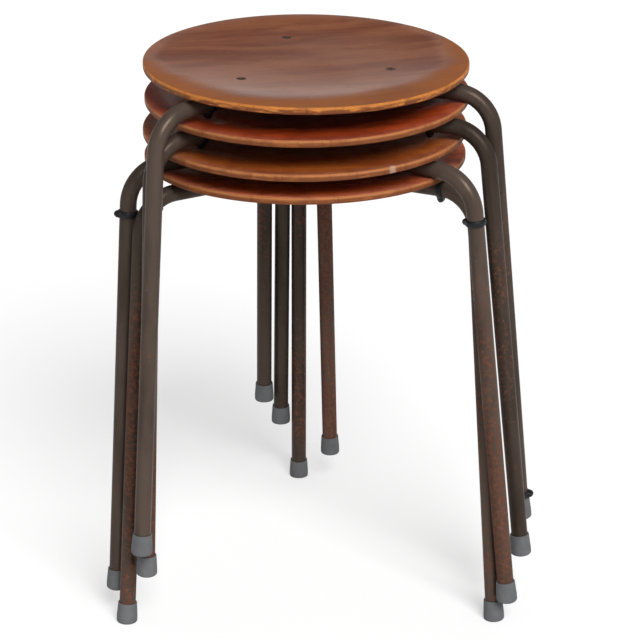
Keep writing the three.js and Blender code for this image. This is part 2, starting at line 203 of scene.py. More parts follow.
class StoolFinishes(bpy.types.PropertyGroup):
    """Colours of the stools' finishes"""
    top_stain: colour("Top stain", "Stained veneer of the top seat", (0.300, 0.106, 0.047))
    top_stain_dark: colour("Top stain, dark", "Dark streaks in the top seat's veneer", (0.185, 0.054, 0.026))
    top_worn: colour("Top worn", "The top seat's outer ring, rubbed matt", (0.365, 0.104, 0.013))
    third_stain: colour("Third stain", "Stained veneer of the seat under the top one", (0.46, 0.066, 0.009))
    third_stain_dark: colour("Third stain, dark", "Dark streaks in that seat's veneer", (0.20, 0.024, 0.006))
    second_stain: colour("Second stain", "Stained veneer of the second seat", (0.42, 0.105, 0.014))
    second_stain_dark: colour("Second stain, dark", "Dark streaks in that seat", (0.20, 0.038, 0.008))
    bottom_stain: colour("Bottom stain", "Stained veneer of the bottom seat", (0.68, 0.135, 0.026))
    bottom_stain_dark: colour("Bottom stain, dark", "Dark streaks in that seat", (0.26, 0.040, 0.012))
    bare_wood: colour("Bare wood", "Where the lacquer is rubbed off at the rim", (0.70, 0.25, 0.055))
    # The top edge and long-grain tones also paint a highlight along the upper part of a seat's edge.
    top_edge_and_highlight: colour("Top edge", "Worn layers of the top seat's edge", (0.66, 0.24, 0.050))
    ply_light_and_highlight: colour("Ply, long grain", "Layers of the edge that show long grain", (0.52, 0.20, 0.072))
    ply_dark: colour("Ply, end grain", "Layers of the edge that show end grain", (0.21, 0.064, 0.024))
    underside: colour("Underside", "Stained veneer of the seats' undersides", (0.38, 0.180, 0.105))
    tube_paint: colour("Tube paint", "Dark paint of the tubes", (0.116, 0.085, 0.067))
    tube_rust: colour("Tube rust", "Rust that comes through the paint", (0.195, 0.078, 0.048))
    bolt_steel: colour("Bolt steel", "Oxidised steel of the bolts", (0.075, 0.040, 0.028))
    foot_rubber: colour("Foot rubber", "Grey rubber of the feet", (0.142, 0.146, 0.151))
    buffer_rubber: colour("Buffer rubber", "Black rubber of the buffers", (0.010, 0.011, 0.013))


class StudioSettings(bpy.types.PropertyGroup):
    """The camera, the floor and the light"""
    camera_place: FloatVectorProperty(
        name="Camera place", description="Where the camera stands", default=(-0.01195, -2.31882, 1.1362),
        size=3, subtype="TRANSLATION", unit="LENGTH", precision=4,
    )
    camera_turn: FloatVectorProperty(
        name="Camera turn", description="The camera's Euler angles", default=(1.208881, 0.004685, -0.007743),
        size=3, subtype="EULER", unit="ROTATION", precision=5,
    )
    camera_lens: FloatProperty(
        name="Lens", description="Focal length on a sensor 36 mm wide", default=138.224, unit="CAMERA",
        subtype="DISTANCE_CAMERA", min=1.0,
    )
    sky_light: FloatProperty(
        name="Sky light", description="Strength of the even light", default=0.33, min=0.0
    )
    key_light: FloatProperty(
        name="Key light", description="Strength of the soft lamp", default=2.8, min=0.0
    )
    key_towards: FloatVectorProperty(
        name="Key light's side", description="From the stools towards the lamp", default=(0.36, -1.00, 0.95),
        size=3, subtype="DIRECTION",
    )
    key_width: FloatProperty(
        name="Key light's width", description="How wide the lamp looks, which softens shadows",
        default=math.radians(30), min=0.0, unit="ROTATION", subtype="ANGLE",
    )
    floor_size: length("Floor size", "Side of the square floor", 24.0)
    floor_colour: colour("Floor colour", "Pale paper of the floor", (0.60, 0.60, 0.60))
    floor_lift: FloatProperty(
        name="Floor lift", description="Light that the floor adds to what it shows", default=0.48, min=0.0,
        max=1.0,
    )


# Shader building

def add(tree, kind, inputs=None, **settings):
    """A new node. Its inputs are sockets to link or values to set."""
    node = tree.nodes.new(kind)
    for key, value in settings.items():
        setattr(node, key, value)
    for key, value in (inputs or {}).items():
        if isinstance(value, bpy.types.NodeSocket):
            tree.links.new(value, node.inputs[key])
        else:
            node.inputs[key].default_value = value
    return node


def arithmetic(tree, operation, first, second):
    return add(tree, "ShaderNodeMath", {0: first, 1: second}, operation=operation).outputs[0]


def plus(tree, first, second):
    return arithmetic(tree, "ADD", first, second)


def times(tree, first, second):
    return arithmetic(tree, "MULTIPLY", first, second)


def blend(tree, share, first, second):
    """A colour from first, where share is 0, to second, where it is 1."""
    def full(value):
        return value if isinstance(value, bpy.types.NodeSocket) else (*value, 1.0)
    inputs = {0: share, 6: full(first), 7: full(second)}
    return add(tree, "ShaderNodeMix", inputs, data_type="RGBA").outputs[2]


def between(tree, value, low, high, to_low=0.0, to_high=1.0):
    """value taken from low..high to to_low..to_high, smoothly and clamped."""
    return add(
        tree, "ShaderNodeMapRange", {0: value, 1: low, 2: high, 3: to_low, 4: to_high},
        interpolation_type="SMOOTHSTEP",
    ).outputs[0]


def overlaid(tree, base, tone, pattern, low, high, share=1.0):
    """base with tone over it where pattern rises from low to high, by up to share."""
    return blend(tree, between(tree, pattern, low, high, 0.0, share), base, tone)


def toned(base, share):
    """A colour made darker or lighter."""
    return tuple(c * share for c in base)


def position(tree):
    """Points of the piece, in its stool's frame where the material has a home."""
    home = tree.nodes.get("home")
    return home.outputs[0] if home else add(tree, "ShaderNodeTexCoord").outputs["Object"]


def places(tree, stretch=(1.0, 1.0, 1.0), offset=(0.0, 0.0, 0.0), turn=0.0):
    """The same points, turned, scaled and shifted."""
    return add(
        tree, "ShaderNodeMapping",
        {"Vector": position(tree), "Location": offset, "Rotation": (0.0, 0.0, turn), "Scale": stretch},
    ).outputs[0]


def noise(tree, vector, scale, detail=3.0, roughness=0.55, distortion=0.0):
    """A cloudy pattern from 0 to 1, with features about 1 / scale metres across."""
    inputs = {
        "Vector": vector, "Scale": scale, "Detail": detail, "Roughness": roughness, "Distortion": distortion,
    }
    return add(tree, "ShaderNodeTexNoise", inputs).outputs["Fac"]


def blank_material(name):
    """A material without nodes, and its tree."""
    material = bpy.data.materials.new(name)
    material.use_nodes = True
    material.node_tree.nodes.clear()
    return material, material.node_tree


def new_material(name, home=None):
    """A material with a principled surface. Its textures follow the stool whose matrix home is."""
    material, tree = blank_material(name)
    surface = add(tree, "ShaderNodeBsdfPrincipled")
    add(tree, "ShaderNodeOutputMaterial", {"Surface": surface.outputs[0]})
    if home is not None:
        back = home.inverted()
        source = add(tree, "ShaderNodeTexCoord").outputs["Object"]
        add(
            tree, "ShaderNodeMapping",
            {"Vector": source, "Location": back.to_translation(), "Rotation": back.to_euler()}, name="home",
        )
    return material, tree, surface


def connect(tree, surface, base, rough, normal, specular=0.5, metallic=0.0):
    """Links a surface's patterns, and sets its plain numbers on its own sockets."""
    for name, source in {"Base Color": base, "Roughness": rough, "Normal": normal}.items():
        tree.links.new(source, surface.inputs[name])
    surface.inputs["Specular IOR Level"].default_value = specular
    surface.inputs["Metallic"].default_value = metallic


def bumped(tree, height, strength, distance):
    """A surface's normal with relief from height, whose full range stands distance high."""
    return add(
        tree, "ShaderNodeBump", {"Height": height, "Strength": strength, "Distance": distance}
    ).outputs[0]


def radius_of(tree, centre=(0.0, 0.0, 0.0)):
    """Distance from the stool's axis, or from an upright line through centre."""
    flat = add(
        tree, "ShaderNodeVectorMath", {0: position(tree), 1: (1.0, 1.0, 0.0)}, operation="MULTIPLY"
    ).outputs[0]
    return add(tree, "ShaderNodeVectorMath", {0: flat, 1: centre}, operation="DISTANCE").outputs["Value"]


def height_of(tree):
    """Height above the stool's floor."""
    return add(tree, "ShaderNodeSeparateXYZ", {0: position(tree)}).outputs[2]


def marked(tree, base, mark):
    """base with a ragged pale mark."""
    if mark is None:
        return base
    place, reach, share = mark
    ragged = noise(tree, places(tree, (0.5, 1.0, 1.0)), 260.0, 4.0, 0.7)
    far = plus(tree, radius_of(tree, place), times(tree, ragged, reach))
    return blend(tree, between(tree, far, 0.8 * reach, 1.4 * reach, share, 0.0), base, MARKED_WOOD)


def lacquered_veneer(name, home, stain, dark, worn_tone, look):
    """Stained veneer under lacquer. Near the rim the stain is paler, partly faded and partly a painted sheen
    of reflected light, and there the lacquer is rubbed matt in a frayed ring. Dust lies on the middle; its
    pale tone is partly painted light, which lightens the shade under the seat above. The look's grain_turn
    turns the grain."""
    material, tree, surface = new_material(name, home)
    offset = (look.seed * 1.7, look.seed * 0.9, look.seed * 0.3)

    def grained(along, across, *settings):
        return noise(tree, places(tree, (along, across, 1.0), offset, look.grain_turn), *settings)

    figure = grained(0.22, 1.0, 30.0, 5.0, 0.6, 0.3)
    streaks = grained(0.055, 1.0, 340.0, 4.0, 0.65)
    pores = grained(0.12, 1.0, 900.0, 2.0)
    scratches = grained(1.0, 0.2, 520.0, 1.0)
    round_about = places(tree, (1.0, 1.0, 1.0), offset)
    clouds = noise(tree, round_about, 11.0, 3.0)
    mottling = noise(tree, round_about, 48.0, 4.0, 0.65)
    frayed = plus(tree, radius_of(tree, WORN_MIDDLE), times(tree, figure, 0.036))
    ring = between(tree, frayed, 0.145, 0.177)
    faded_stain_and_sheen = tuple(0.5 * (c + max(stain)) for c in stain)

    base = overlaid(tree, dark, stain, figure, 0.34, 0.62)
    # Painted sheen: the stain turns paler in a band inside the rim, partly fading and partly reflected light.
    base = overlaid(tree, base, faded_stain_and_sheen, radius_of(tree), 0.138, 0.155, 0.30)
    base = blend(tree, times(tree, ring, look.worn), base, worn_tone)
    # Painted light: the pale dusty tone on the middle also lightens the shade that the seat above casts
    # there.
    base = blend(tree, between(tree, frayed, 0.125, 0.155, look.dust_and_painted_light, 0.0), base, DUST_AND_PAINTED_LIGHT)
    base = overlaid(tree, base, dark, streaks, 0.42, 0.72, 0.40)
    base = overlaid(tree, base, toned(dark, 0.45), pores, 0.60, 0.74, 0.45)
    base = overlaid(tree, base, toned(dark, 0.8), clouds, 0.45, 0.80, 0.30)
    base = overlaid(tree, base, dark, mottling, 0.44, 0.66, 0.12 + 0.7 * look.dust_and_painted_light)
    base = overlaid(tree, base, SCRATCHED_WOOD, scratches, 0.73, 0.80, look.scratched)
    base = marked(tree, base, look.mark)
    ripple = plus(tree, times(tree, streaks, 0.5), noise(tree, round_about, 60.0, 2.0))
    connect(
        tree, surface, base, plus(tree, between(tree, clouds, 0.3, 0.7, 0.12, 0.18), times(tree, ring, 0.45)),
        bumped(tree, ripple, 0.10, 0.0002), specular=look.gloss,
    )
    return material


def ply_edge(name, home, light, dark, bare, look):
    """The rim's edge, where the plywood's layers lie bare under thin lacquer. It is paler towards the top,
    partly the layers' own tone and partly a painted highlight along the rim's upper corner, with ticks
    across the layers, spots rubbed bare and grime."""
    material, tree, surface = new_material(name, home)
    offset = (look.seed * 2.3, look.seed * 1.1, 0.0)

    def round_rim(upwards, *settings):
        return noise(tree, places(tree, (1.0, 1.0, upwards), offset), *settings)

    wobble = round_rim(0.0, 30.0, 2.0)
    ticks = round_rim(0.06, 420.0, 3.0, 0.7)
    pale = round_rim(5.0, 70.0, 4.0, 0.7)
    grime = round_rim(0.25, 45.0, 3.0)
    height = plus(tree, height_of(tree), times(tree, wobble, 0.0012))
    layer = arithmetic(tree, "FRACT", arithmetic(tree, "DIVIDE", height, 0.0023), 0.0)
    crossing = times(tree, between(tree, layer, 0.42, 0.5), between(tree, layer, 0.92, 1.0, 1.0, 0.0))

    # Painted highlight: the edge's upper part takes the paler tone, as if lit along the rim's upper corner.
    base = overlaid(tree, dark, light, height, 0.4466, 0.4496)
    base = blend(tree, times(tree, crossing, 0.35), base, dark)
    base = overlaid(tree, base, toned(dark, 0.5), ticks, 0.55, 0.72, 0.55)
    base = overlaid(tree, base, bare, pale, 0.48, 0.64, look.bare_edge)
    base = overlaid(tree, base, toned(dark, 0.8), grime, 0.5, 0.7, 0.5)
    base = marked(tree, base, look.mark)
    connect(
        tree, surface, base, between(tree, grime, 0.3, 0.7, 0.42, 0.62),
        bumped(tree, plus(tree, crossing, ticks), 0.5, 0.0002), specular=0.12,
    )
    return material


def painted_tube(name, home, paint, rust, seed, rusting):
    """Dark chipped paint. Rust comes through it in patches and freckles, mostly below the bend."""
    material, tree, surface = new_material(name, home)
    offset = (seed * 1.3, seed * 0.7, seed * 2.1)
    here = places(tree, (1.0, 1.0, 1.0), offset)
    down = places(tree, (1.0, 1.0, 0.22), offset)
    dirt = noise(tree, down, 34.0, 4.0, 0.6)
    patches = noise(tree, down, 22.0, 5.0, 0.62, 0.4)
    freckles = noise(tree, here, 260.0, 4.0, 0.7)
    chips = noise(tree, here, 420.0, 1.0)
    broken = plus(tree, times(tree, patches, 0.75), times(tree, freckles, 0.70))
    broken = arithmetic(tree, "SUBTRACT", broken, between(tree, height_of(tree), 0.30, 0.42, 0.0, 0.30))
    rusted = between(tree, broken, 0.90 - 0.34 * rusting, 1.04 - 0.34 * rusting)

    base = overlaid(tree, paint, toned(paint, 0.62), dirt, 0.35, 0.70)
    rust_tone = overlaid(tree, toned(rust, 0.45), rust, freckles, 0.35, 0.65)
    base = blend(tree, times(tree, rusted, 0.72), base, rust_tone)
    base = overlaid(tree, base, CHIPPED_PAINT, chips, 0.76, 0.80, 0.6)
    relief = plus(tree, times(tree, freckles, 0.5), rusted)
    connect(
        tree, surface, base, plus(tree, between(tree, dirt, 0.3, 0.7, 0.28, 0.38), times(tree, rusted, 0.25)),
        bumped(tree, relief, 0.3, 0.0002), specular=0.03, metallic=0.24,
    )
    return material


def moulded_rubber(name, tone, seed, rough_low, rough_high, scuffed):
    """Rubber with a cloudy tone and pale scuffs."""
    material, tree, surface = new_material(name)
    cloud = noise(tree, places(tree, (1.0, 1.0, 1.0), (seed, seed * 0.5, 0.0)), 70.0, 4.0, 0.6)
    scuffs = noise(tree, places(tree, (1.0, 1.0, 0.3), (seed, 0.0, 0.0)), 240.0, 5.0, 0.75)
    base = overlaid(tree, toned(tone, 0.86), toned(tone, 1.08), cloud, 0.3, 0.7)
    base = overlaid(tree, base, tuple(c * 1.5 + 0.02 for c in tone), scuffs, 0.55, 0.75, scuffed)
    connect(
        tree, surface, base, between(tree, cloud, 0.3, 0.7, rough_low, rough_high),
        bumped(tree, scuffs, 0.25, 0.0002), specular=0.25,
    )
    return material


def oxidised_steel(name, tone):
    """Steel with a spotted dark skin."""
    material, tree, surface = new_material(name)
    spots = noise(tree, places(tree), 900.0, 4.0, 0.7)
    connect(
        tree, surface, overlaid(tree, tone, toned(tone, 2.6), spots, 0.4, 0.7),
        between(tree, spots, 0.3, 0.7, 0.35, 0.6), bumped(tree, spots, 0.4, 0.0001), metallic=0.7,
    )
    return material


# Mesh building

def mesh_from(name, points, faces):
    """A mesh from its corners and from the corner numbers of each face."""
    mesh = bpy.data.meshes.new(name)
    mesh.from_pydata([tuple(p) for p in points], [], faces)
    mesh.validate()
    return mesh


def placed(name, data):
    """A new object in the scene that shows a mesh, a lamp or a camera."""
    thing = bpy.data.objects.new(name, data)
    bpy.context.scene.collection.objects.link(thing)
    return thing


def turned(name, outline, sides, closed=False):
    """Surface of revolution about +Z from (radius, height) points, which run up the outside."""
    points, faces, rings = [], [], []
    for radius, height in outline:
        if radius == 0.0:
            rings.append([len(points)])
            points.append((0.0, 0.0, height))
            continue
        rings.append(list(range(len(points), len(points) + sides)))
        for i in range(sides):
            angle = 2 * math.pi * i / sides
            points.append((radius * math.cos(angle), radius * math.sin(angle), height))
    for lower, upper in zip(rings, rings[1:] + rings[:1] if closed else rings[1:]):
        for i in range(sides):
            j = (i + 1) % sides
            if len(lower) == 1:
                faces.append((lower[0], upper[j], upper[i]))
            elif len(upper) == 1:
                faces.append((lower[i], lower[j], upper[0]))
            else:
                faces.append((lower[i], lower[j], upper[j], upper[i]))
    return mesh_from(name, points, faces)


def arc(centre_radius, centre_height, radius, start, end, steps):
    """Points of a rounded corner in an outline."""
    turns = [start + (end - start) * i / steps for i in range(steps + 1)]
    return [(centre_radius + radius * math.cos(t), centre_height + radius * math.sin(t)) for t in turns]


def swept(name, centres, tangents, radii):
    """A tube round a centre line, closed at both ends, with a radius for each ring."""
    side = None
    points, faces = [], []
    for centre, tangent, radius in zip(centres, tangents, radii):
        if side is None:
            side = tangent.orthogonal().normalized()
        side = (side - tangent * side.dot(tangent)).normalized()
        other = tangent.cross(side)
        for i in range(TUBE_SIDES):
            angle = 2 * math.pi * i / TUBE_SIDES
            points.append(centre + radius * (math.cos(angle) * side + math.sin(angle) * other))
    last = len(points) - TUBE_SIDES
    for lower in range(0, last, TUBE_SIDES):
        upper = lower + TUBE_SIDES
        for i in range(TUBE_SIDES):
            j = (i + 1) % TUBE_SIDES
            faces.append((lower + i, lower + j, upper + j, upper + i))
    faces.append(tuple(reversed(range(TUBE_SIDES))))
    faces.append(tuple(range(last, last + TUBE_SIDES)))
    return mesh_from(name, points, faces)


def finished(mesh, name, stool, node, materials):
    """Lays a mesh in place of a node, on its stool, with smooth faces and its materials."""
    mesh.transform(stool["matrix"])
    for material in materials:
        mesh.materials.append(material)
    for polygon in mesh.polygons:
        polygon.use_smooth = True
    piece = placed(name, mesh)
    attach(piece, stool["body"])
    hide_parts(node)


def sharpen(mesh, angle):
    """Marks edges that turn by more than angle as sharp, so that smooth faces don't shade across them."""
    work = bmesh.new()
    work.from_mesh(mesh)
    for edge in work.edges:
        edge.smooth = not (len(edge.link_faces) == 2 and edge.calc_face_angle(0.0) > angle)
    work.to_mesh(mesh)
    work.free()


# Where the solids lie

def corners(node):
    """Each corner of a solid once."""
    found = np.array([v.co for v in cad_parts[node].data.vertices], float)
    return np.unique(np.round(found, 7), axis=0)


def read_stool(number, sizes):
    """The stool's frame, and for each leg where its arm, bend, leg and buffer lie, all from the solids."""
    bolts = {side: corners(f"stool_{number}_bolt_{side}").mean(0) for side in SIDES}
    middle = sum(bolts.values()) / len(SIDES)
    up = np.cross(bolts["left"] - bolts["back"], bolts["right"] - bolts["back"])
    up /= np.linalg.norm(up)
    back = bolts["back"] - middle
    back /= np.linalg.norm(back)
    aside = np.cross(back, up)
    top = ((corners(f"stool_{number}_seat") - middle) @ up).max()
    origin = middle + up * (top - sizes.seat_height)
    matrix = Matrix.Identity(4)
    for row in range(3):
        matrix[row][:] = (aside[row], back[row], up[row], origin[row])
    stool = {"number": number, "body": f"stool_{number}", "matrix": matrix, "legs": {}}
    inverse = np.array(matrix.inverted())

    def local(points):
        return points @ inverse[:3, :3].T + inverse[:3, 3]

    for side in SIDES:
        bolt = local(bolts[side])
        outwards = Vector((bolt[0], bolt[1], 0.0)).normalized()
        tube = local(corners(f"stool_{number}_leg_{side}"))
        low = tube[:, 2] < sizes.seat_height / 2
        end, rest = Vector(tube[low].mean(0)), tube[~low]
        bend_end = Vector(rest[np.argsort(rest[:, 2])[:low.sum()]].mean(0))
        down = (end - bend_end).normalized()
        knee = bend_end + down * ((sizes.arm_height - bend_end.z) / down.z)
        buffer = Vector(local(corners(f"stool_{number}_buffer_{side}")).mean(0))
        stool["legs"][side] = {"outwards": outwards, "knee": knee, "end": end, "down": down, "buffer": buffer}
    return stool


def leg_line(leg, sizes):
    """The leg's centre line as a function of the distance along it from the stool's axis, and where on it the
    bend starts, the bend ends and the tube ends."""
    outwards, down = leg["outwards"], leg["down"]
    turn = outwards.angle(down)
    tangent = sizes.bend_radius * math.tan(turn / 2)
    start = leg["knee"].xy.length - tangent
    bend = sizes.bend_radius * turn
    arm_start = Vector((0.0, 0.0, sizes.arm_height))
    inwards = (down - outwards * down.dot(outwards)).normalized()
    centre = arm_start + outwards * start + inwards * sizes.bend_radius
    leg_start = leg["knee"] + down * tangent
    total = start + bend + (leg["end"] - leg_start).length

    def at(distance):
        if distance <= start:
            return arm_start + outwards * distance, outwards.copy()
        if distance <= start + bend:
            angle = (distance - start) / sizes.bend_radius
            point = centre + sizes.bend_radius * (math.sin(angle) * outwards - math.cos(angle) * inwards)
            return point, math.cos(angle) * outwards + math.sin(angle) * inwards
        return leg_start + down * (distance - start - bend), down.copy()

    return at, start, start + bend, total


def read_stack():
    """Each stool's frame and legs, from the bottom stool up."""
    sizes = bpy.context.scene.stool_sizes
    return [read_stool(number, sizes) for number in STOOLS]


def dish_rise(sizes, radius):
    """How far the seat's upper face rises at a radius, above its middle."""
    return sizes.dish_depth * (radius / (sizes.seat_diameter / 2)) ** sizes.dish_power


def bolt_top(sizes):
    """Height of the bolts' faces, level with the seat at the head's inner side."""
    return sizes.seat_height - sizes.dish_depth + dish_rise(
        sizes, sizes.bolt_circle_radius - sizes.bolt_head_diameter / 2
    )


# Pieces

class STOOLS_OT_seats(bpy.types.Operator):
    """Moulded plywood seats with countersunk bolt holes"""
    bl_idname = "stools.seats"
    bl_label = "Build seats"

    def outline(self, sizes):
        radius = sizes.seat_diameter / 2
        edge = radius - sizes.rim_rounding
        top = sizes.seat_height - sizes.dish_depth
        shares = [i / SEAT_RINGS for i in range(1, SEAT_RINGS)] + [RIM_RING]
        upper = [(edge * share, top + dish_rise(sizes, edge * share)) for share in shares]
        lower = [(r, h - sizes.seat_thickness) for r, h in upper]
        low_centre = sizes.seat_height - sizes.seat_thickness + sizes.rim_rounding
        high_centre = sizes.seat_height - sizes.rim_rounding
        return [
            (0.0, top - sizes.seat_thickness), *lower,
            *arc(edge, low_centre, sizes.rim_rounding, -QUARTER, 0.0, RIM_STEPS),
            *arc(edge, high_centre, sizes.rim_rounding, 0.0, QUARTER, RIM_STEPS),
            *reversed(upper), (0.0, top),
        ]

    def bored(self, mesh, sizes):
        """A copy with the countersunk holes cut."""
        head = sizes.bolt_head_diameter / 2 + FIT_GAP
        shank = sizes.bolt_shank_diameter / 2 + FIT_GAP
        outline = [
            (0.0, -CUTTER_DEPTH), (shank, -CUTTER_DEPTH), (shank, -sizes.bolt_head_height), (head, 0.0),
            (head, CUTTER_RISE), (0.0, CUTTER_RISE),
        ]
        seat = placed("seat_blank", mesh)
        cutters = []
        for i, side in enumerate(SIDES):
            angle = math.radians(90 + 120 * i)
            cutter_mesh = turned(f"countersink_{side}", outline, HOLE_SIDES)
            cutter_mesh.transform(Matrix.Translation((
                sizes.bolt_circle_radius * math.cos(angle), sizes.bolt_circle_radius * math.sin(angle),
                bolt_top(sizes),
            )))
            cutter = placed(f"countersink_{side}", cutter_mesh)
            modifier = seat.modifiers.new(f"hole_{side}", "BOOLEAN")
            modifier.object = cutter
            modifier.operation = "DIFFERENCE"
            modifier.solver = "EXACT"
            cutters.append(cutter)
        bpy.context.view_layer.update()
        cut = bpy.data.meshes.new_from_object(seat.evaluated_get(bpy.context.evaluated_depsgraph_get()))
        for spare in [seat, *cutters]:
            bpy.data.objects.remove(spare)
        return cut

    def veneered(self, mesh, sizes):
        """Gives the steep faces of the rim the second material and the faces of the underside the third."""
        rim = sizes.seat_diameter / 2 - sizes.rim_rounding * EDGE_ROUNDING_SHARE
        underside = sizes.seat_height - sizes.seat_thickness + UNDERSIDE_MARGIN
        for polygon in mesh.polygons:
            centre = polygon.center
            if math.hypot(centre.x, centre.y) > rim and abs(polygon.normal.z) < EDGE_UPWARD:
                polygon.material_index = 1
            elif polygon.normal.z < 0 and centre.z < underside:
                polygon.material_index = 2

    def execute(self, context):
        sizes, finishes = context.scene.stool_sizes, context.scene.stool_finishes
        blank = self.bored(turned("seat_blank", self.outline(sizes), SEAT_SIDES), sizes)
        sharpen(blank, math.radians(35))
        self.veneered(blank, sizes)
        shade = finishes.underside
        for stool in read_stack():
            number, home = stool["number"], stool["matrix"]
            look, on_top = SEAT_LOOKS[number], number == TOP_STOOL
            stain = getattr(finishes, f"{look.label}_stain")
            dark = getattr(finishes, f"{look.label}_stain_dark")
            worn_tone = finishes.top_worn if on_top else stain
            # The paler tone for the edge's upper part, partly the layers' tone and partly a painted
            # highlight.
            light = finishes.top_edge_and_highlight if on_top else finishes.ply_light_and_highlight
            below = SeatLook(
                "underside", look.grain_turn, look.seed + 1.3, 0.1, gloss=0.0, worn=0.0, dust_and_painted_light=0.0,
            )
            materials = [
                lacquered_veneer(f"lacquered_veneer_{look.label}", home, stain, dark, worn_tone, look),
                ply_edge(f"ply_edge_{look.label}", home, light, finishes.ply_dark, finishes.bare_wood, look),
                lacquered_veneer(
                    f"underside_veneer_{look.label}", home, shade, toned(shade, 0.6), shade, below,
                ),
            ]
            mesh = blank.copy()
            mesh.name = f"seat_{look.label}"
            finished(mesh, f"seat_disc_{number}", stool, f"stool_{number}_seat", materials)
        return {"FINISHED"}


class STOOLS_OT_legs(bpy.types.Operator):
    """Bent steel tubes with their welds at the hub"""
    bl_idname = "stools.legs"
    bl_label = "Build legs"

    def execute(self, context):
        sizes, finishes = context.scene.stool_sizes, context.scene.stool_finishes
        radius = sizes.tube_diameter / 2
        tube_start = sizes.hub_diameter / 2 - ARM_IN_HUB
        weld = [tube_start + sizes.weld_size * along for along, _ in WELD_BEAD]
        for stool in read_stack():
            number = stool["number"]
            for index, side in enumerate(SIDES):
                at, bend_start, bend_end, end = leg_line(stool["legs"][side], sizes)
                arm = np.linspace(tube_start + sizes.weld_size * WELD_LENGTH, bend_start, ARM_RINGS)
                bend = np.linspace(bend_start, bend_end, BEND_RINGS + 1)[1:]
                straight = np.linspace(bend_end, end, LEG_RINGS)[1:]
                centres, tangents = zip(*(at(distance) for distance in (*weld, *arm, *bend, *straight)))
                radii = [radius + sizes.weld_size * height for _, height in WELD_BEAD]
                radii += [radius] * (len(centres) - len(radii))
                name = f"{side}_tube_{number}"
                mesh = swept(name, centres, tangents, radii)
                sharpen(mesh, math.radians(50))
                # Each leg's paint is toned lighter or darker here as painted shade, by how much the stack
                # shades that leg.
                rusting, painted_shade = TUBE_RUST_AND_PAINTED_SHADE[number][side]
                material = painted_tube(
                    f"painted_tube_{number}_{side}", stool["matrix"], toned(finishes.tube_paint, painted_shade),
                    finishes.tube_rust, number * 3.7 + index * 1.9, rusting,
                )
                finished(mesh, name, stool, f"stool_{number}_leg_{side}", [material])
        return {"FINISHED"}


class STOOLS_OT_hubs(bpy.types.Operator):
    """Open rings that the arms are welded to"""
    bl_idname = "stools.hubs"
    bl_label = "Build hubs"

    def execute(self, context):
        sizes, finishes = context.scene.stool_sizes, context.scene.stool_finishes
        outer, inner = sizes.hub_diameter / 2, sizes.hub_diameter / 2 - sizes.hub_wall
        low = sizes.arm_height - sizes.tube_diameter / 2
        high = sizes.arm_height + sizes.tube_diameter / 2
        corner = sizes.hub_chamfer
        corners_at = (
            (inner + corner, low + corner, -2 * QUARTER), (outer - corner, low + corner, -QUARTER),
            (outer - corner, high - corner, 0.0), (inner + corner, high - corner, QUARTER),
        )
        outline = [
            point for radius, height, turn in corners_at
            for point in arc(radius, height, corner, turn, turn + QUARTER, HUB_CORNER_STEPS)
        ]
        for stool in read_stack():
            number = stool["number"]
            mesh = turned(f"hub_ring_{number}", outline, HUB_SIDES, closed=True)
            material = painted_tube(
                f"painted_hub_{number}", stool["matrix"], finishes.tube_paint, finishes.tube_rust,
                number * 5.3, HUB_RUST,
            )
            finished(mesh, f"hub_ring_{number}", stool, f"stool_{number}_hub", [material])
        return {"FINISHED"}


class STOOLS_OT_feet(bpy.types.Operator):
    """Tapered rubber cups on the legs' ends"""
    bl_idname = "stools.feet"
    bl_label = "Build feet"

    def outline(self, sizes, drop):
        """From the middle of the sole up to the bore. The sole lies lower by drop, so that a leaning cup
        still reaches the floor all round, where it is then made flat."""
        sole, mouth = sizes.foot_sole_diameter / 2, sizes.foot_mouth_diameter / 2
        bore = sizes.tube_diameter / 2 + FIT_GAP
        rounding, widest = sizes.foot_rounding, sizes.foot_widest_height
        taper = [
            (sole + (mouth - sole) * share, widest + (sizes.foot_height - FOOT_LIP - widest) * share)
            for share in FOOT_SIDE_RINGS
        ]
        return [
            (0.0, -drop),
            *arc(sole - rounding, rounding - drop, rounding, -QUARTER, 0.0, SOLE_STEPS),
            (sole, widest), *taper,
            *arc(mouth - FOOT_LIP, sizes.foot_height - FOOT_LIP, FOOT_LIP, 0.0, QUARTER, LIP_STEPS),
            (bore, sizes.foot_height), (bore, sizes.foot_height - FOOT_BORE_SHOWN),
        ]

    def execute(self, context):
        sizes, finishes = context.scene.stool_sizes, context.scene.stool_finishes
        material = moulded_rubber("grey_foot_rubber", finishes.foot_rubber, 4.0, 0.55, 0.75, 0.35)
        for stool in read_stack():
            number = stool["number"]
            for side in SIDES:
                knee, down = stool["legs"][side]["knee"], stool["legs"][side]["down"]
                ground = knee + down * (knee.z / -down.z)
                drop = sizes.foot_sole_diameter / 2 * math.hypot(down.x, down.y)
                name = f"{side}_cup_{number}"
                mesh = turned(name, self.outline(sizes, drop), FOOT_SIDES)
                lean = Vector((0.0, 0.0, 1.0)).rotation_difference(-down).to_matrix().to_4x4()
                mesh.transform(Matrix.Translation(ground) @ lean)
                for vertex in mesh.vertices:
                    vertex.co.z = max(vertex.co.z, 0.0)
                sharpen(mesh, math.radians(40))
                finished(mesh, name, stool, f"stool_{number}_foot_{side}", [material])
        return {"FINISHED"}


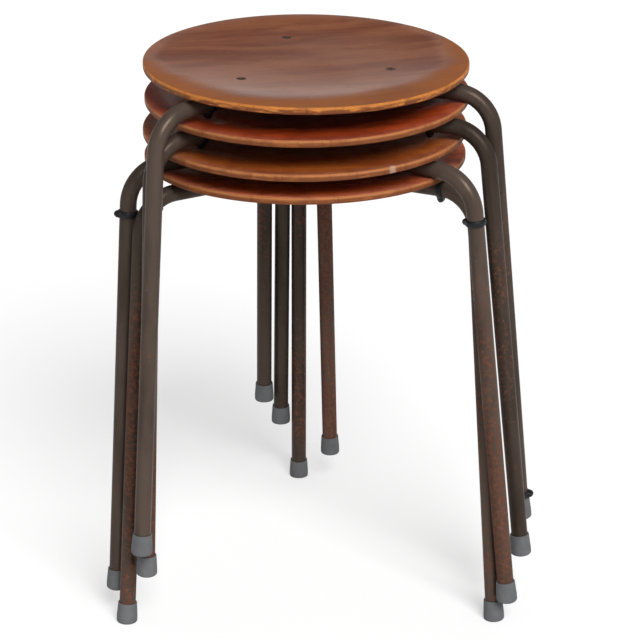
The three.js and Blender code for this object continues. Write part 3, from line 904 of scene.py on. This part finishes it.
class STOOLS_OT_bolts(bpy.types.Operator):
    """Countersunk seat bolts with a screwdriver slot"""
    bl_idname = "stools.bolts"
    bl_label = "Build bolts"

    def execute(self, context):
        sizes, finishes = context.scene.stool_sizes, context.scene.stool_finishes
        head, shank = sizes.bolt_head_diameter / 2, sizes.bolt_shank_diameter / 2
        material = oxidised_steel("oxidised_bolt_steel", finishes.bolt_steel)
        face = [(head * share, 0.0) for share in BOLT_FACE_RINGS]
        outline = [
            (0.0, -BOLT_LENGTH), (shank, -BOLT_LENGTH), (shank, -sizes.bolt_head_height),
            (head, -BOLT_EDGE), *face,
        ]
        for stool in read_stack():
            number = stool["number"]
            for index, side in enumerate(SIDES):
                name = f"{side}_bolt_{number}"
                mesh = turned(name, outline, BOLT_SIDES)
                # Each slot stands where its bolt was last turned to.
                turn = 0.7 + index * 1.9 + number * 0.8
                across_slot = Vector((math.cos(turn), math.sin(turn)))
                for vertex in mesh.vertices:
                    if vertex.co.z == 0.0 and abs(vertex.co.xy.dot(across_slot)) < sizes.bolt_slot / 2:
                        vertex.co.z = -BOLT_SLOT_DEPTH
                place = stool["legs"][side]["outwards"] * sizes.bolt_circle_radius
                mesh.transform(Matrix.Translation(place + Vector((0.0, 0.0, bolt_top(sizes)))))
                sharpen(mesh, math.radians(30))
                finished(mesh, name, stool, f"stool_{number}_bolt_{side}", [material])
        return {"FINISHED"}


class STOOLS_OT_buffers(bpy.types.Operator):
    """Rubber rings with a thick side, worn on the arms or slipped down the legs"""
    bl_idname = "stools.buffers"
    bl_label = "Build buffers"

    def ring(self, name, sizes, centre, along, nub):
        """A ring round the tube at centre, which lies along that way and has its thick side towards nub."""
        bore = sizes.tube_diameter / 2 + FIT_GAP
        other = along.cross(nub)
        points, faces = [], []
        for i in range(BUFFER_SIDES):
            angle = 2 * math.pi * i / BUFFER_SIDES
            off = math.remainder(angle, 2 * math.pi) * (bore + sizes.buffer_thickness)
            swell = math.exp(-((off / (sizes.buffer_nub_width * NUB_HALF_SHARE)) ** NUB_SQUARENESS))
            thick = sizes.buffer_thickness + (sizes.buffer_nub_thickness - sizes.buffer_thickness) * swell
            direction = math.cos(angle) * nub + math.sin(angle) * other
            k = (i + 1) % BUFFER_SIDES
            for j in range(BUFFER_STEPS):
                turn = math.pi * j / (BUFFER_STEPS - 1)
                out = bore + thick * math.sin(turn) ** BUFFER_FULLNESS
                points.append(centre + direction * out + along * (-sizes.buffer_width / 2 * math.cos(turn)))
                m = (j + 1) % BUFFER_STEPS
                faces.append((
                    i * BUFFER_STEPS + j, k * BUFFER_STEPS + j, k * BUFFER_STEPS + m, i * BUFFER_STEPS + m,
                ))
        mesh = mesh_from(name, points, faces)
        work = bmesh.new()
        work.from_mesh(mesh)
        bmesh.ops.recalc_face_normals(work, faces=work.faces)
        work.to_mesh(mesh)
        work.free()
        sharpen(mesh, math.radians(60))
        return mesh

    def execute(self, context):
        sizes, finishes = context.scene.stool_sizes, context.scene.stool_finishes
        material = moulded_rubber("black_buffer_rubber", finishes.buffer_rubber, 9.0, 0.35, 0.55, 0.3)
        for stool in read_stack():
            number = stool["number"]
            for side in SIDES:
                leg = stool["legs"][side]
                at, _, _, end = leg_line(leg, sizes)
                place = leg["buffer"]
                distances = np.linspace(0.0, end, PLACE_STEPS)
                centre, along = at(min(distances, key=lambda distance: (at(distance)[0] - place).length))
                nub = place - centre
                nub = (nub - along * nub.dot(along)).normalized()
                name = f"{side}_buffer_{number}"
                mesh = self.ring(name, sizes, centre, along, nub)
                finished(mesh, name, stool, f"stool_{number}_buffer_{side}", [material])
        return {"FINISHED"}


class STOOLS_OT_stage(bpy.types.Operator):
    """Camera, pale floor and soft light"""
    bl_idname = "stools.stage"
    bl_label = "Set the stage"

    def background(self, tree):
        """1 where a ray from the camera, a gloss or a clear body arrives."""
        path = add(tree, "ShaderNodeLightPath")
        seen = arithmetic(tree, "MAXIMUM", path.outputs["Is Camera Ray"], path.outputs["Is Glossy Ray"])
        return arithmetic(tree, "MAXIMUM", seen, path.outputs["Is Transmission Ray"])

    def floor(self, studio):
        half, row = studio.floor_size / 2, FLOOR_STEPS + 1
        ticks = [-half + studio.floor_size * i / FLOOR_STEPS for i in range(row)]
        points = [(x, y, 0.0) for y in ticks for x in ticks]
        faces = [
            (j * row + i, j * row + i + 1, (j + 1) * row + i + 1, (j + 1) * row + i)
            for j in range(FLOOR_STEPS) for i in range(FLOOR_STEPS)
        ]
        material, tree = blank_material("pale_paper_floor")
        fibres = noise(tree, places(tree), 60.0, 3.0)
        base = blend(tree, fibres, toned(studio.floor_colour, 0.995), studio.floor_colour)
        lift = times(tree, self.background(tree), studio.floor_lift)
        paper = add(tree, "ShaderNodeBsdfDiffuse", {"Color": base}).outputs[0]
        glow = add(tree, "ShaderNodeEmission", {"Color": WHITE, "Strength": lift}).outputs[0]
        both = add(tree, "ShaderNodeAddShader", {0: paper, 1: glow}).outputs[0]
        add(tree, "ShaderNodeOutputMaterial", {"Surface": both})
        mesh = mesh_from("paper_floor", points, faces)
        mesh.materials.append(material)
        placed("paper_floor", mesh)

    def sky(self, scene, studio):
        """An even light. The camera sees it as white, and gloss as a white band above the horizon, dim under
        and over it."""
        world = bpy.data.worlds.new("studio_sky")
        scene.world = world
        world.use_nodes = True
        tree = world.node_tree
        tree.nodes.clear()
        direction = add(tree, "ShaderNodeTexCoord").outputs["Generated"]
        rise = add(tree, "ShaderNodeSeparateXYZ", {0: direction}).outputs[2]
        low_end = between(tree, rise, 0.12, 0.19, 0.15, 1.0)
        high_end = between(tree, rise, 0.25, 0.32, 1.0, 0.05)
        band = times(tree, low_end, high_end)
        path = add(tree, "ShaderNodeLightPath")
        screen = arithmetic(tree, "MAXIMUM", path.outputs["Is Camera Ray"], band)
        strength = blend(tree, self.background(tree), [studio.sky_light] * 3, screen)
        light = add(tree, "ShaderNodeBackground", {"Color": WHITE, "Strength": strength}).outputs[0]
        add(tree, "ShaderNodeOutputWorld", {"Surface": light})

    def lamps(self, studio):
        lamp = bpy.data.lights.new("key_lamp", "SUN")
        lamp.energy = studio.key_light
        lamp.angle = studio.key_width
        key = placed("key_lamp", lamp)
        key.rotation_mode = "QUATERNION"
        key.rotation_quaternion = Vector(studio.key_towards).normalized().to_track_quat("Z", "Y")

    def camera(self, scene, studio):
        lens = bpy.data.cameras.new("camera")
        lens.sensor_fit = "HORIZONTAL"
        lens.sensor_width = 36.0
        lens.lens = studio.camera_lens
        lens.clip_end = 100.0
        camera = placed("camera", lens)
        camera.location = studio.camera_place
        camera.rotation_euler = studio.camera_turn
        scene.camera = camera

    def execute(self, context):
        scene = context.scene
        studio = scene.stool_studio
        self.floor(studio)
        self.sky(scene, studio)
        self.lamps(studio)
        self.camera(scene, studio)
        scene.view_settings.view_transform = "Standard"
        return {"FINISHED"}


OPERATORS = (
    STOOLS_OT_seats, STOOLS_OT_legs, STOOLS_OT_hubs, STOOLS_OT_feet, STOOLS_OT_bolts, STOOLS_OT_buffers,
    STOOLS_OT_stage,
)


class STOOLS_PT_panel(bpy.types.Panel):
    """Lists the stools' sizes and colours, and the operators that build them"""
    bl_idname = "STOOLS_PT_panel"
    bl_label = "Stacking stools"
    bl_space_type = "VIEW_3D"
    bl_region_type = "UI"
    bl_category = "Stools"

    def draw(self, context):
        for group in (context.scene.stool_sizes, context.scene.stool_finishes, context.scene.stool_studio):
            box = self.layout.box()
            for key in group.__annotations__:
                box.prop(group, key)
        for operator in OPERATORS:
            self.layout.operator(operator.bl_idname)


# Registration, and the run

CLASSES = (StoolSizes, StoolFinishes, StudioSettings, *OPERATORS, STOOLS_PT_panel)


def register():
    for kind in CLASSES:
        bpy.utils.register_class(kind)
    bpy.types.Scene.stool_sizes = PointerProperty(type=StoolSizes)
    bpy.types.Scene.stool_finishes = PointerProperty(type=StoolFinishes)
    bpy.types.Scene.stool_studio = PointerProperty(type=StudioSettings)


def unregister():
    del bpy.types.Scene.stool_studio
    del bpy.types.Scene.stool_finishes
    del bpy.types.Scene.stool_sizes
    for kind in reversed(CLASSES):
        bpy.utils.unregister_class(kind)


def main():
    """Builds every piece and the stage."""
    register()
    for operator in OPERATORS:
        group, name = operator.bl_idname.split(".")
        getattr(getattr(bpy.ops, group), name)()
    bpy.context.view_layer.update()


if __name__ == "__main__":
    main()
